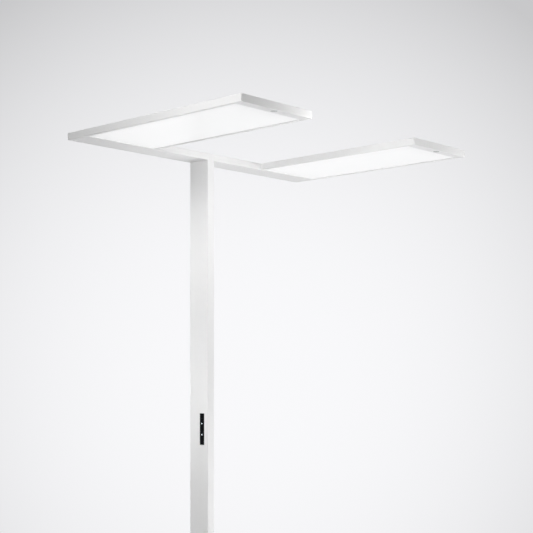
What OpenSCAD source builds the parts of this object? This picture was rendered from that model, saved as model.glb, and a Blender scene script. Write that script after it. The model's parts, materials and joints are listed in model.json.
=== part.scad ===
// Office floor lamp: two flat luminous heads on one crossbar, carried by a slim
// rectangular column that stands on a flat steel base plate.
// Millimetres. The origin is on the floor, under the middle of the lamp's outline.
// +Z is up, the heads reach towards -Y and the crossbar runs along X.

/* [Overall] */
// Height from the floor to the top of the heads
lamp_h = 1950; // [1800:10:2100]
// Distance from the back of the crossbar to the front of the heads
reach = 650; // [600:5:750]

/* [Heads] */
// Width of one head
head_w = 250; // [230:5:300]
// Clear gap between the two heads
head_gap = 430; // [380:10:520]
// Thickness of the heads and the crossbar
head_t = 19; // [18.5:0.5:24]
// Wall thickness of the head rails
rail_wall = 2; // [1.6:0.1:2.4]
// Thickness of the lip that carries the diffuser
lip_t = 1.6; // [1.2:0.1:2]
// Width of the lip along each side of a head
side_lip = 10; // [8:0.5:14]
// Width of the lip along the front of a head
front_lip = 28; // [26:0.5:34]
// Thickness of the rear rail where it shows below
rear_lip = 3; // [2.5:0.1:4]
// Depth of the rear rail where the fixing screws bite
rear_rail_d = 6; // [5:0.5:8]
// Width of the inner ledge that carries the top covers
ledge_w = 6; // [5.5:0.5:8]
// Thickness of the inner ledge
ledge_t = 1.6; // [1.2:0.1:2]
// Thickness of the top covers
cover_t = 2; // [1.6:0.1:2.4]
// Thickness of the diffuser
diffuser_t = 2; // [1.5:0.1:2.4]
// Thickness of the light guide plate
guide_t = 4; // [3:0.5:4.5]
// Thickness of the reflector sheet
reflector_t = 0.5; // [0.3:0.1:0.8]
// Thickness of the back plate
back_t = 1.5; // [1:0.1:1.8]
// Length of each leg of a corner key
key_leg = 38; // [25:1:50]
// Thickness of a corner key
key_t = 2; // [1.5:0.1:2.2]

/* [Uplight] */
// Width of the uplight window
uplight_w = 110; // [80:5:140]
// Length of the uplight window
uplight_l = 400; // [300:10:440]
// Width of the flange round the uplight lens
lens_flange = 4; // [3:0.5:6]

/* [Sensors] */
// Radius of the sensor lens
sensor_r = 7; // [6:0.5:9]
// Width of the flange round the sensor lens
sensor_flange = 1.5; // [1:0.5:2.5]
// How far the sensor lens stands below the head
sensor_drop = 1.4; // [1:0.2:3]

/* [Crossbar] */
// Depth of the crossbar, front to back
bar_d = 75; // [70:1:90]
// Wall thickness of the crossbar
bar_wall = 2.5; // [2:0.1:3]
// Thickness of the end caps
end_cap_t = 3; // [2:0.5:5]

/* [Column] */
// Width of the column
col_w = 26; // [26:0.5:34]
// Depth of the column, front to back
col_d = 75; // [75:1:90]
// Wall thickness of the column
col_wall = 2.5; // [2:0.1:2.6]
// Height of the blocks inside both ends of the column
block_h = 60; // [56:1:90]

/* [Controls] */
// Height of the middle of the control strip above the floor
strip_z = 1140; // [1000:1:1250]
// Length of the control strip
strip_l = 93; // [90:1:110]
// Width of the control strip
strip_w = 18; // [18:0.5:22]
// Distance from the front of the column to the middle of the strip
strip_in = 24; // [20:1:34]
// How far the strip's rim stands proud of the column
strip_proud = 0.8; // [0.5:0.1:1.5]
// Distance between the middles of the two keys
key_pitch = 33; // [31:0.5:36]
// Length of a key cap
key_l = 29; // [24:0.5:29.5]
// Width of a key cap
key_w = 11; // [9:0.5:11.2]
// Travel of a key
key_travel = 0.8; // [0.4:0.1:1]
// Radius of the light dot in a key
dot_r = 1.3; // [0.8:0.1:2]

/* [Base] */
// Width of the base plate
base_w = 440; // [400:10:560]
// Depth of the base plate
base_d = 520; // [440:10:560]
// Thickness of the base plate
base_t = 8; // [7:0.5:12]
// Corner radius of the base plate
base_r = 10; // [4:1:30]
// Distance from the back of the column to the back of the base plate
base_back = 40; // [36:1:80]
// Radius of a glide
glide_r = 20; // [12:1:28]
// How far a glide stands below the base plate
glide_h = 3; // [2:0.5:6]
// How deep a glide sits in the base plate
glide_in = 2; // [1:0.5:3]
// Distance from the base plate's edges to the middle of a glide
glide_edge = 45; // [32:1:70]
// Thickness of the gasket under the column
gasket_t = 1; // [0.5:0.1:2]

/* [Cable gland] */
// Radius of the cable that the gland takes
gland_bore_r = 3.75; // [2.5:0.25:4.5]
// Radius of the gland's thread
gland_thread_r = 8; // [7:0.5:8.5]
// Width of the gland's hexagons across the flats
gland_af = 20; // [19:0.5:20.5]
// Height of the gland above the floor
gland_z = 108; // [106:1:116]

/* [Electrics] */
// Length of an LED driver
driver_l = 280; // [200:10:360]
// Thickness of an LED driver
driver_t = 16; // [12:0.5:17]
// Thickness of the sheet-metal driver tray
tray_t = 1.5; // [1:0.1:1.8]
// Radius of the leads to the heads
lead_r = 2.2; // [1.5:0.1:2.4]
// Thickness of the circuit boards
board_t = 1.6; // [1:0.1:1.8]
// Distance from one LED to the next
led_pitch = 24; // [18:1:40]

/* [Fits] */
// Side clearance round pieces that are set into others
fit = 0.2; // [0.1:0.05:0.3]
// Side clearance round the key caps
key_fit = 0.3; // [0.2:0.05:0.4]

/* [Hidden] */
$fn = 48;
eps = 0.01;

white = "whitesmoke";
steel = "silver";
black = [0.08, 0.08, 0.09];
board_green = [0.93, 0.93, 0.9];

// Overall places
span = 2 * head_w + head_gap;
back_y = (reach - base_back) / 2;
col_y = back_y - col_d / 2;
bar_front_y = back_y - bar_d;
head_front_y = back_y - reach;
head_z = lamp_h - head_t;
head_len = reach - bar_d;
cover_z = head_t - cover_t;
ledge_z = cover_z - ledge_t;

// Column and blocks
col_in_w = col_w - 2 * col_wall;
col_in_d = col_d - 2 * col_wall;
plate_top = glide_h + base_t;
col_z = plate_top + gasket_t;
block_w = col_in_w - 2 * fit;
block_d = col_in_d - 2 * fit;
foot_top = col_z + block_h;
block_screw_y = 22;
foot_screw_r = 5;
foot_head_r = 9.5;
foot_screw_up = 25;
top_screw_r = 4;
top_head_r = 6.5;
top_head_h = 7;
top_screw_down = 25;
thread_gap = 0.1;
side_screw_r = 3;
side_head_r = 5;
side_head_h = 2.8;
side_screw_l = 11;
side_screw_gap = 13;
side_screw_first = 9;
passage_r = 7.5;

// Gland
gland_flange_t = 5;
gland_cap_l = 13;
gland_nut_t = 4;
gland_thread_l = 11;

// Driver tray and what it carries
tray_x = -block_w / 2 + 1.8;
tray_slot = 10;
tray_front = col_y - col_in_d / 2 + 2;
tray_d = 56;
driver_w = 26;
driver_z = 240;
driver_ear = 8;
driver_ear_t = 2;
driver_gap = 2;
tray_top = driver_z + driver_l + 3 * driver_ear;
driver_screw_r = 1.5;
driver_head_r = 2.8;
driver_head_h = 1.8;
terminal_z = 150;
terminal_h = 26;
terminal_poles = 3;
terminal_pitch = 13;
terminal_y = tray_front + (tray_d - terminal_poles * terminal_pitch) / 2;
terminal_x = tray_x + tray_t + driver_t / 2;
terminal_grip = 8;
terminal_bore_r = 2.6;
terminal_screw_r = 2.2;

// Head stack, measured up from the underside of a head
guide_z = lip_t + diffuser_t;
reflector_z = guide_z + guide_t;
back_z = reflector_z + reflector_t;
board_z = back_z + back_t;
led_strip_t = 1.2;
led_t = 0.8;
led_size = 3;
guide_side = rail_wall + led_strip_t + led_t + 0.6;
stack_front = front_lip - 5;
stack_back = head_len - rear_rail_d - 0.4;
key_z0 = guide_z + 1.4;
key_h = ledge_z - fit - key_z0;
strip_margin = rail_wall + key_leg + 5;
cover_screw_r = 1.3;
cover_head_r = 2.6;
cover_screw_l = 4.4;
cover_screw_in = rail_wall + ledge_w / 2;
cover_screw_inset = 60;
fixing_r = 2;
fixing_head_r = 3.4;
fixing_head_h = 3.6;
fixing_l = 7.5;
fixing_z = 11.2;
fixing_side = 36;
fixing_pitch = 58;
lead_z = board_z + lead_r + 0.1;
grommet_r = lead_r + 1.3;
grommet_flange = 1.2;
grommet_flange_t = 0.8;
lead_bend = 6;
lead_x = 3;
inner_lead_r = 0.7 * lead_r;
connector_l = 9;
connector_w = 14;
connector_h = 4.4;
sensor_v = 13;
sensor_body_h = 9;
sensor_lead_r = 1.1;
housing_wall = 1.2;
jog_down = 30;
lead_gap = 0.4;
rebate_t = cover_t / 2;

// Crossbar section
port_r = 2.4;
port_hole_r = 1.5;
port_in = bar_wall + port_r;
bar_screw_count = 6;
bar_screw_in = bar_wall + ledge_w / 2;
cap_head_r = 2.8;
cap_screw_l = 10;

// Controls, measured inwards from the column's left face
face_x = -col_w / 2;
strip_y = col_y - col_d / 2 + strip_in;
rim = 1;
box_l = strip_l - 2 * rim;
box_w = strip_w - 2 * rim;
box_wall = 1.2;
box_floor = 1.2;
bezel_in = 2;
key_flange = 1.1;
key_flange_t = 0.8;
key_proud = 0.35;
key_rest_gap = 0.1;
flange_x = bezel_in + key_rest_gap;
board_x = flange_x + key_flange_t + key_travel + 4.6;
box_depth = board_x + board_t + 1.2 + box_floor;
switch_size = 6;
switch_h = 3.4;
plunger_r = 1.5;
plunger_gap = 0.15;
plunger_tip = board_x - switch_h + 1.2;
control_lead_x = face_x + box_depth - lead_r;
hook_l = 4;
hook_out = 1.2;
post_r = 1.2;
dot_depth = 1.2;
dot_fit = 0.05;

// ---- helpers ----

// A straight round run from one point to another
module rod(from, to, r) {
  run = to - from;
  len = norm(run);
  translate(from)
    rotate([0, acos(run[2] / len), atan2(run[1], run[0])])
      cylinder(r = r, h = len);
}

// A quarter of a ring that turns a run from one direction into another
module elbow(corner, arriving, leaving, bend, r) {
  centre = corner + bend * (leaving - arriving);
  side = cross(arriving, leaving);
  multmatrix([[-leaving[0], arriving[0], side[0], centre[0]],
              [-leaving[1], arriving[1], side[1], centre[1]],
              [-leaving[2], arriving[2], side[2], centre[2]]])
    rotate_extrude(angle = 90) translate([bend, 0]) circle(r = r);
}

// A round lead along square corners, each one rounded by an elbow
module lead(points, r, bend) {
  last = len(points) - 1;
  dirs = [for (i = [0 : last - 1]) (points[i + 1] - points[i]) / norm(points[i + 1] - points[i])];
  for (i = [0 : last - 1])
    rod(points[i] + (i > 0 ? bend : 0) * dirs[i], points[i + 1] - (i < last - 1 ? bend : 0) * dirs[i], r);
  for (i = [1 : last - 1]) elbow(points[i], dirs[i - 1], dirs[i], bend, r);
}

module rounded_slab(w, d, h, r) {
  translate([-w / 2 + r, -d / 2, 0]) cube([w - 2 * r, d, h]);
  translate([-w / 2, -d / 2 + r, 0]) cube([w, d - 2 * r, h]);
  for (x = [-1, 1], y = [-1, 1])
    translate([x * (w / 2 - r), y * (d / 2 - r), 0]) cylinder(r = r, h = h);
}

// A hexagon across the flats, its flats facing +X and -X
module hexagon(af, h) {
  rotate([0, 0, 30]) cylinder(r = af / sqrt(3), h = h, $fn = 6);
}

// A countersunk screw, its head flush at z = 0 and its shank going down
module countersunk(r, head_r, l) {
  difference() {
    union() {
      translate([0, 0, -(head_r - r)]) cylinder(r1 = r, r2 = head_r, h = head_r - r);
      translate([0, 0, -l]) cylinder(r = r, h = l - (head_r - r) + eps);
    }
    translate([0, 0, -(head_r - r) * 0.8]) cylinder(r = r * 0.7, h = head_r, $fn = 6);
  }
}

// The hole that takes it
module countersunk_hole(r, head_r, l) {
  translate([0, 0, -(head_r - r)]) cylinder(r1 = r + thread_gap, r2 = head_r + thread_gap, h = head_r - r);
  translate([0, 0, -l]) cylinder(r = r + thread_gap, h = l);
  translate([0, 0, -eps]) cylinder(r = head_r + thread_gap, h = 1);
}

// A cap screw, its head standing on z = 0 and its shank going down
module cap_screw(r, head_r, head_h, l) {
  difference() {
    union() {
      cylinder(r = head_r, h = head_h);
      translate([0, 0, -l]) cylinder(r = r, h = l + eps);
    }
    translate([0, 0, head_h * 0.4]) cylinder(r = r * 0.8, h = head_h, $fn = 6);
  }
}

// Places its children in a head's own frame: u runs inwards from the outer side,
// v runs back from the front face and z up from the underside.
module in_head(side) {
  mirror([side > 0 ? 1 : 0, 0, 0])
    translate([-span / 2, head_front_y, head_z]) children();
}

module both_heads() {
  for (side = [-1, 1]) in_head(side) children();
}

// ---- base ----

module base_plate() {
  color(white) difference() {
    translate([0, back_y + base_back - base_d / 2, glide_h])
      rounded_slab(base_w, base_d, base_t, base_r);
    at_glides() translate([0, 0, -1]) cylinder(r = glide_r + fit, h = glide_h + glide_in + 1);
    at_foot_screws() mirror([0, 0, 1]) translate([0, 0, -glide_h])
      countersunk_hole(foot_screw_r, foot_head_r, base_t + 1);
  }
}

module at_glides() {
  for (x = [-1, 1], y = [glide_edge, base_d - glide_edge])
    translate([x * (base_w / 2 - glide_edge), back_y + base_back - y, 0]) children();
}

module base_glides() {
  color("dimgray") at_glides() cylinder(r = glide_r, h = glide_h + glide_in);
}

module at_foot_screws() {
  for (y = [-1, 1]) translate([0, col_y + y * block_screw_y, 0]) children();
}

module foot_gasket() {
  color(black) difference() {
    translate([-col_w / 2, col_y - col_d / 2, plate_top]) cube([col_w, col_d, gasket_t]);
    at_foot_screws() cylinder(r = foot_screw_r + fit, h = col_z + 1);
  }
}

module foot_block() {
  color(steel) difference() {
    translate([-block_w / 2, col_y - block_d / 2, col_z]) cube([block_w, block_d, block_h]);
    at_foot_screws() cylinder(r = foot_screw_r + thread_gap, h = col_z + foot_screw_up + 4);
    translate([tray_x - fit, tray_front - fit, foot_top - tray_slot])
      cube([tray_t + 2 * fit, tray_d + 2 * fit, tray_slot + 1]);
    at_side_screws(foot_top, -1) side_screw_hole();
  }
}

module foot_screws() {
  color(steel) at_foot_screws() mirror([0, 0, 1]) translate([0, 0, -glide_h])
    countersunk(foot_screw_r, foot_head_r, base_t + gasket_t + foot_screw_up);
}

// ---- column ----

// Places its children on the back of the column, two to a block, z pointing out
module at_side_screws(block_edge, step) {
  for (i = [0, 1])
    translate([0, back_y, block_edge + step * (side_screw_first + i * side_screw_gap)])
      rotate([-90, 0, 0]) children();
}

module side_screw_hole() {
  translate([0, 0, -side_screw_l - 1]) cylinder(r = side_screw_r + thread_gap, h = side_screw_l + 2);
}

module column() {
  color(white) difference() {
    translate([-col_w / 2, col_y - col_d / 2, col_z]) cube([col_w, col_d, head_z - col_z]);
    translate([-col_in_w / 2, col_y - col_in_d / 2, col_z - 1])
      cube([col_in_w, col_in_d, head_z - col_z + 2]);
    at_side_screws(foot_top, -1) side_screw_hole();
    at_side_screws(head_z - block_h, 1) side_screw_hole();
    translate([0, back_y + 1, gland_z]) rotate([90, 0, 0])
      cylinder(r = gland_thread_r + thread_gap, h = col_wall + 2);
    translate([face_x - 1, strip_y - box_w / 2 - fit, strip_z - box_l / 2 - fit])
      cube([col_wall + 2, box_w + 2 * fit, box_l + 2 * fit]);
  }
}

module column_screws() {
  color(steel) {
    at_side_screws(foot_top, -1) cap_screw(side_screw_r, side_head_r, side_head_h, side_screw_l);
    at_side_screws(head_z - block_h, 1) cap_screw(side_screw_r, side_head_r, side_head_h, side_screw_l);
  }
}

module top_block() {
  color(steel) difference() {
    translate([-block_w / 2, col_y - block_d / 2, head_z - block_h]) cube([block_w, block_d, block_h]);
    translate([0, 0, head_z]) at_foot_screws() translate([0, 0, -top_screw_down - 4])
      cylinder(r = top_screw_r + thread_gap, h = top_screw_down + 5);
    translate([0, col_y, head_z - block_h - 1]) cylinder(r = passage_r, h = block_h + 2);
    at_side_screws(head_z - block_h, 1) side_screw_hole();
  }
}

module top_screws() {
  color(steel) translate([0, 0, head_z + bar_wall]) at_foot_screws()
    cap_screw(top_screw_r, top_head_r, top_head_h, top_screw_down + bar_wall);
}

// ---- cable gland, z pointing out of the column's back ----

module at_gland() {
  translate([0, back_y, gland_z]) rotate([-90, 0, 0]) children();
}

module cable_gland() {
  color(black) at_gland() difference() {
    union() {
      hexagon(gland_af, gland_flange_t);
      translate([0, 0, -gland_thread_l]) cylinder(r = gland_thread_r, h = gland_thread_l + eps);
    }
    translate([0, 0, -gland_thread_l - 1])
      cylinder(r = gland_bore_r, h = gland_thread_l + gland_flange_t + 2);
  }
}

module gland_cap() {
  color(black) at_gland() translate([0, 0, gland_flange_t]) difference() {
    union() {
      hexagon(gland_af, gland_cap_l * 0.6);
      translate([0, 0, gland_cap_l * 0.6 - eps])
        cylinder(r1 = gland_af / 2 - 0.6, r2 = gland_bore_r + 2.4, h = gland_cap_l * 0.4 + eps);
    }
    translate([0, 0, -1]) cylinder(r = gland_bore_r, h = gland_cap_l + 2);
  }
}

module gland_nut() {
  color(black) at_gland() translate([0, 0, -col_wall - gland_nut_t]) difference() {
    hexagon(gland_af, gland_nut_t);
    translate([0, 0, -1]) cylinder(r = gland_thread_r + thread_gap, h = gland_nut_t + 2);
  }
}

// ---- driver tray ----

module driver_tray() {
  color(steel) difference() {
    translate([tray_x, tray_front, foot_top - tray_slot])
      cube([tray_t, tray_d, tray_top - foot_top + tray_slot]);
    at_driver_screws() cylinder(r = driver_screw_r + thread_gap, h = 3 * tray_t, center = true);
  }
}

module at_drivers() {
  for (i = [0, 1])
    translate([tray_x + tray_t, tray_front + 0.5 + i * (driver_w + driver_gap), driver_z]) children();
}

// z points out of the tray, through each driver's ears
module at_driver_screws() {
  at_drivers() for (z = [-driver_ear / 2, driver_l + driver_ear / 2])
    translate([0, driver_w / 2, z]) rotate([0, 90, 0]) children();
}

module led_drivers() {
  color(white) difference() {
    at_drivers() {
      cube([driver_t, driver_w, driver_l]);
      translate([0, 3, -driver_ear]) cube([driver_ear_t, driver_w - 6, driver_l + 2 * driver_ear]);
    }
    at_driver_screws() cylinder(r = driver_screw_r + thread_gap, h = 4 * driver_ear_t, center = true);
  }
}

module driver_screws() {
  color(steel) at_driver_screws() translate([0, 0, driver_ear_t])
    cap_screw(driver_screw_r, driver_head_r, driver_head_h, driver_ear_t + tray_t);
}

module terminal_block() {
  color("ghostwhite") difference() {
    translate([tray_x + tray_t, terminal_y, terminal_z])
      cube([driver_t, terminal_poles * terminal_pitch, terminal_h]);
    for (i = [0 : terminal_poles - 1])
      translate([terminal_x, terminal_y + (i + 0.5) * terminal_pitch, terminal_z]) {
        translate([0, 0, -1]) cylinder(r = terminal_bore_r, h = terminal_h + 2);
        translate([0, 0, terminal_h / 2]) rotate([0, 90, 0]) cylinder(r = terminal_screw_r, h = driver_t);
      }
  }
}

// ---- controls: x points into the column, y and z lie in its left face ----

module in_strip() {
  translate([face_x, strip_y, strip_z]) children();
}

module slab(x, w, l, t) {
  translate([x, -w / 2, -l / 2]) cube([t, w, l]);
}

module at_key(end) {
  translate([0, 0, end * key_pitch / 2]) children();
}

module control_bezel() {
  color(black) in_strip() difference() {
    union() {
      slab(-strip_proud, strip_w, strip_l, strip_proud);
      slab(-eps, box_w, box_l, bezel_in + eps);
    }
    for (end = [-1, 1]) at_key(end)
      slab(-strip_proud - 1, key_w + 2 * key_fit, key_l + 2 * key_fit, bezel_in + strip_proud + 2);
  }
}

module control_housing() {
  color(black) in_strip() {
    difference() {
      slab(bezel_in, box_w, box_l, box_depth - bezel_in);
      slab(bezel_in - 1, box_w - 2 * box_wall, box_l - 2 * box_wall, box_depth - bezel_in - box_floor + 1);
    }
    for (y = [-1, 1], z = [-1, 1])
      translate([board_x + board_t, y * (box_w / 2 - box_wall - 0.9), z * (box_l / 2 - box_wall - 4)])
        rotate([0, 90, 0]) cylinder(r = post_r, h = box_depth - box_floor - board_x - board_t + eps);
    for (end = [-1, 1])
      translate([col_wall + fit, -hook_l / 2, end * (box_l + hook_out) / 2 - (hook_out + eps) / 2])
        cube([hook_l, hook_l, hook_out + eps]);
  }
}

module control_board() {
  color("darkgreen") in_strip() difference() {
    union() {
      slab(board_x, box_w - 2 * box_wall - 2 * fit, box_l - 2 * box_wall - 2 * fit, board_t);
      for (end = [-1, 1]) at_key(end) slab(board_x - switch_h, switch_size, switch_size, switch_h + eps);
    }
    for (end = [-1, 1]) at_key(end) translate([board_x - switch_h - 1, 0, 0]) rotate([0, 90, 0])
      cylinder(r = plunger_r + plunger_gap, h = switch_h);
  }
}

module key(end) {
  color(black) in_strip() at_key(end) difference() {
    union() {
      slab(-strip_proud - key_proud, key_w, key_l, strip_proud + key_proud + flange_x + eps);
      slab(flange_x, key_w + 2 * key_flange, key_l + 2 * key_flange, key_flange_t);
      translate([flange_x, 0, 0]) rotate([0, 90, 0])
        cylinder(r = plunger_r, h = plunger_tip - flange_x - key_travel);
    }
    translate([-strip_proud - key_proud - 1, 0, 0]) rotate([0, 90, 0])
      cylinder(r = dot_r + dot_fit, h = dot_depth + 1);
  }
}

module key_dot(end) {
  color("white") in_strip() at_key(end)
    translate([-strip_proud - key_proud, 0, 0]) rotate([0, 90, 0]) cylinder(r = dot_r, h = dot_depth);
}

module upper_key() key(1);
module lower_key() key(-1);
module upper_key_dot() key_dot(1);
module lower_key_dot() key_dot(-1);

// The control lead, and a lead from the terminal block to each driver
module inner_leads() {
  color("dimgray") {
    rod([control_lead_x, strip_y, strip_z - box_l / 2],
        [control_lead_x, strip_y, driver_z + driver_l], inner_lead_r);
    for (pole = [0, terminal_poles - 1]) {
      y = terminal_y + (pole + 0.5) * terminal_pitch;
      rod([terminal_x, y, driver_z],
          [terminal_x, y, terminal_z + terminal_h - terminal_grip], inner_lead_r);
    }
  }
}

// ---- crossbar: the section lies in y and z, from the front face and the underside ----

module bar_section() {
  difference() {
    union() {
      square([bar_d, bar_wall]);
      square([bar_wall, head_t]);
      translate([bar_d - bar_wall, 0]) square([bar_wall, head_t]);
      translate([0, ledge_z]) square([bar_wall + ledge_w, ledge_t]);
      translate([bar_d - bar_wall - ledge_w, ledge_z]) square([bar_wall + ledge_w, ledge_t]);
      for (y = [port_in, bar_d - port_in]) translate([y, port_in]) circle(r = port_r + eps);
    }
    for (y = [port_in, bar_d - port_in]) translate([y, port_in]) circle(r = port_hole_r);
  }
}

module in_bar() {
  translate([0, bar_front_y, head_z]) children();
}

// Turns a shape drawn in y and z so that it runs along x for a length, centred
module along_x(length) {
  translate([-length / 2, 0, 0]) rotate([90, 0, 90]) linear_extrude(length) children();
}

module at_bar_cover_screws() {
  pitch = (span - 2 * end_cap_t - 2 * cover_screw_inset) / (bar_screw_count / 2 - 1);
  for (i = [0 : bar_screw_count / 2 - 1], y = [bar_screw_in, bar_d - bar_screw_in])
    translate([-span / 2 + end_cap_t + cover_screw_inset + i * pitch, y, head_t]) children();
}

// The screws that hold a head to the crossbar, z pointing back through the wall
module at_fixings(side) {
  for (u = [fixing_side, fixing_side + fixing_pitch,
            head_w - fixing_side - fixing_pitch, head_w - fixing_side])
    in_head(side) translate([u, head_len + bar_wall, fixing_z]) rotate([-90, 0, 0]) children();
}

// The hole that each head's lead passes through, z pointing back
module at_head_passages() {
  both_heads() translate([head_w / 2, head_len, lead_z]) rotate([-90, 0, 0]) children();
}

module crossbar() {
  color(white) difference() {
    in_bar() along_x(span - 2 * end_cap_t) bar_section();
    in_bar() at_bar_cover_screws() countersunk_hole(cover_screw_r, cover_head_r, cover_screw_l);
    for (side = [-1, 1]) at_fixings(side) translate([0, 0, -bar_wall - 1])
      cylinder(r = fixing_r + thread_gap, h = bar_wall + 2);
    at_head_passages() translate([0, 0, -1]) cylinder(r = grommet_r + fit, h = bar_wall + 2);
    translate([0, 0, head_z - 1]) at_foot_screws() cylinder(r = top_screw_r + thread_gap, h = bar_wall + 2);
    translate([0, col_y, head_z - 1]) cylinder(r = passage_r, h = bar_wall + 2);
  }
}

module crossbar_cover() {
  color(white) in_bar() difference() {
    translate([-span / 2 + end_cap_t + fit, bar_wall + fit, cover_z])
      cube([span - 2 * end_cap_t - 2 * fit, bar_d - 2 * bar_wall - 2 * fit, cover_t]);
    at_bar_cover_screws() countersunk_hole(cover_screw_r, cover_head_r, cover_screw_l);
  }
}

module crossbar_cover_screws() {
  color(steel) in_bar() at_bar_cover_screws() countersunk(cover_screw_r, cover_head_r, cover_screw_l);
}

// z points out of each end of the crossbar, at the screw ports
module at_ports() {
  in_bar() for (side = [-1, 1], y = [port_in, bar_d - port_in])
    translate([side * span / 2, y, port_in]) rotate([0, side * 90, 0]) children();
}

module end_caps() {
  color(white) difference() {
    in_bar() for (side = [-1, 1])
      translate([side > 0 ? span / 2 - end_cap_t : -span / 2, 0, 0]) cube([end_cap_t, bar_d, head_t]);
    at_ports() countersunk_hole(port_hole_r - thread_gap, cap_head_r, end_cap_t + 1);
  }
}

module end_cap_screws() {
  color(white) at_ports() countersunk(port_hole_r - thread_gap, cap_head_r, cap_screw_l);
}

module ring(outer, inner, h) {
  difference() {
    cylinder(r = outer, h = h);
    translate([0, 0, -1]) cylinder(r = inner, h = h + 2);
  }
}

// A grommet's flange, cut flat where it meets the ledge above it
module flat_topped_flange() {
  outer = grommet_r + grommet_flange;
  difference() {
    ring(outer, lead_r + fit, grommet_flange_t);
    translate([-outer, lead_z + fit - ledge_z - outer, -1]) cube([2 * outer, outer, grommet_flange_t + 2]);
  }
}

module lead_grommets() {
  color(black) {
    at_head_passages() translate([0, 0, -rear_rail_d]) {
      ring(grommet_r, lead_r + fit, rear_rail_d + bar_wall);
      translate([0, 0, rear_rail_d + bar_wall]) flat_topped_flange();
    }
    translate([0, col_y, head_z]) {
      ring(passage_r - fit, passage_r - 1, bar_wall + eps);
      translate([0, 0, bar_wall]) ring(passage_r + grommet_flange, passage_r - 1, grommet_flange_t);
    }
  }
}

// One lead from each driver up the column, along the crossbar and into its head.
// The first driver's lead jogs over to the passage; the second one's rises straight.
module head_leads() {
  lead_top = head_z + lead_z;
  jog_z = head_z - block_h - jog_down;
  board_end_y = head_front_y + (head_len + uplight_l) / 2 + connector_l;
  color("dimgray") {
    for (side = [-1, 1]) {
      pass_y = col_y + side * (lead_r + lead_gap);
      first_y = tray_front + driver_w / 2;
      head_x = side * (span - head_w) / 2;
      jogging = [[lead_x, first_y, driver_z + driver_l], [lead_x, first_y, jog_z], [lead_x, pass_y, jog_z]];
      straight = [[lead_x, pass_y, driver_z + driver_l]];
      top = [[lead_x, pass_y, lead_top], [head_x, pass_y, lead_top], [head_x, board_end_y, lead_top]];
      lead(concat(side < 0 ? jogging : straight, top), lead_r, lead_bend);
    }
    sensor_z = board_z + sensor_lead_r + 0.1;
    both_heads() rod([head_w / 2, sensor_v + sensor_r + housing_wall, sensor_z],
                     [head_w / 2, (head_len - uplight_l) / 2 - connector_l, sensor_z], sensor_lead_r);
  }
}

// ---- heads, in each head's own frame ----

// A stretch of side rail: lip, wall and ledge, mitred into the front rail
module side_rail() {
  linear_extrude(lip_t)
    polygon([[0, 0], [side_lip, front_lip], [side_lip, head_len - rear_lip],
             [rail_wall, head_len - rear_lip], [rail_wall, head_len], [0, head_len]]);
  translate([0, 0, lip_t]) linear_extrude(head_t - lip_t)
    polygon([[0, 0], [rail_wall, rail_wall], [rail_wall, head_len], [0, head_len]]);
  translate([0, 0, ledge_z]) linear_extrude(ledge_t)
    polygon([[0, 0], [rail_wall + ledge_w, rail_wall + ledge_w],
             [rail_wall + ledge_w, head_len - rear_lip - ledge_w], [rail_wall, head_len - rear_lip],
             [rail_wall, head_len], [0, head_len]]);
}

module flip_in_head() {
  translate([head_w, 0, 0]) mirror([1, 0, 0]) children();
}

module at_head_cover_screws() {
  for (u = [cover_screw_in, head_w - cover_screw_in],
       v = [cover_screw_inset, head_len / 2, head_len - cover_screw_inset])
    translate([u, v, head_t]) children();
}

module outer_rail(side) {
  color(white) in_head(side) difference() {
    side_rail();
    at_head_cover_screws() countersunk_hole(cover_screw_r, cover_head_r, cover_screw_l);
  }
}

module inner_rail(side) {
  color(white) in_head(side) difference() {
    flip_in_head() side_rail();
    at_head_cover_screws() countersunk_hole(cover_screw_r, cover_head_r, cover_screw_l);
  }
}

// A strip across the head between two distances from the front, its ends cut
// along the mitre line towards each side's inset
module cross_strip(v0, v1, u0, u1) {
  polygon([[u0, v0], [head_w - u0, v0], [head_w - u1, v1], [u1, v1]]);
}

module front_rail(side) {
  color(white) in_head(side) difference() {
    union() {
      linear_extrude(lip_t) cross_strip(0, front_lip, 0, side_lip);
      translate([0, 0, lip_t]) linear_extrude(head_t - lip_t) cross_strip(0, rail_wall, 0, rail_wall);
      translate([0, 0, ledge_z]) linear_extrude(ledge_t)
        cross_strip(0, rail_wall + ledge_w, 0, rail_wall + ledge_w);
    }
    translate([head_w / 2, sensor_v, -1]) cylinder(r = sensor_r + fit, h = lip_t + 2);
  }
}

module rear_rail(side) {
  wall_v = head_len - rear_lip;
  color(white) difference() {
    in_head(side) {
      translate([rail_wall, wall_v, 0]) cube([head_w - 2 * rail_wall, rear_lip, head_t]);
      translate([rail_wall + key_t + fit, head_len - rear_rail_d, guide_z + fit])
        cube([head_w - 2 * (rail_wall + key_t + fit), rear_rail_d, ledge_z - guide_z - fit + eps]);
      translate([0, 0, ledge_z]) linear_extrude(ledge_t)
        translate([0, head_len]) mirror([0, 1])
          polygon([[rail_wall, rear_lip - eps], [head_w - rail_wall, rear_lip - eps],
                   [head_w - rail_wall, rear_lip],
                   [head_w - rail_wall - ledge_w, rear_lip + ledge_w],
                   [rail_wall + ledge_w, rear_lip + ledge_w], [rail_wall, rear_lip]]);
    }
    at_fixings(side) translate([0, 0, -bar_wall - rear_rail_d - 1])
      cylinder(r = fixing_r + thread_gap, h = rear_rail_d + 2);
    in_head(side) translate([head_w / 2, head_len + 1, lead_z]) rotate([90, 0, 0])
      cylinder(r = grommet_r + fit, h = rear_rail_d + 2);
  }
}

module head_corner_keys() {
  far = head_len - rear_lip;
  color(steel) both_heads() translate([0, 0, key_z0]) {
    corner_key([rail_wall, rail_wall], 1, 1);
    corner_key([head_w - rail_wall, rail_wall], -1, 1);
    corner_key([rail_wall, far], 1, -1);
    corner_key([head_w - rail_wall, far], -1, -1);
  }
}

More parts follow.
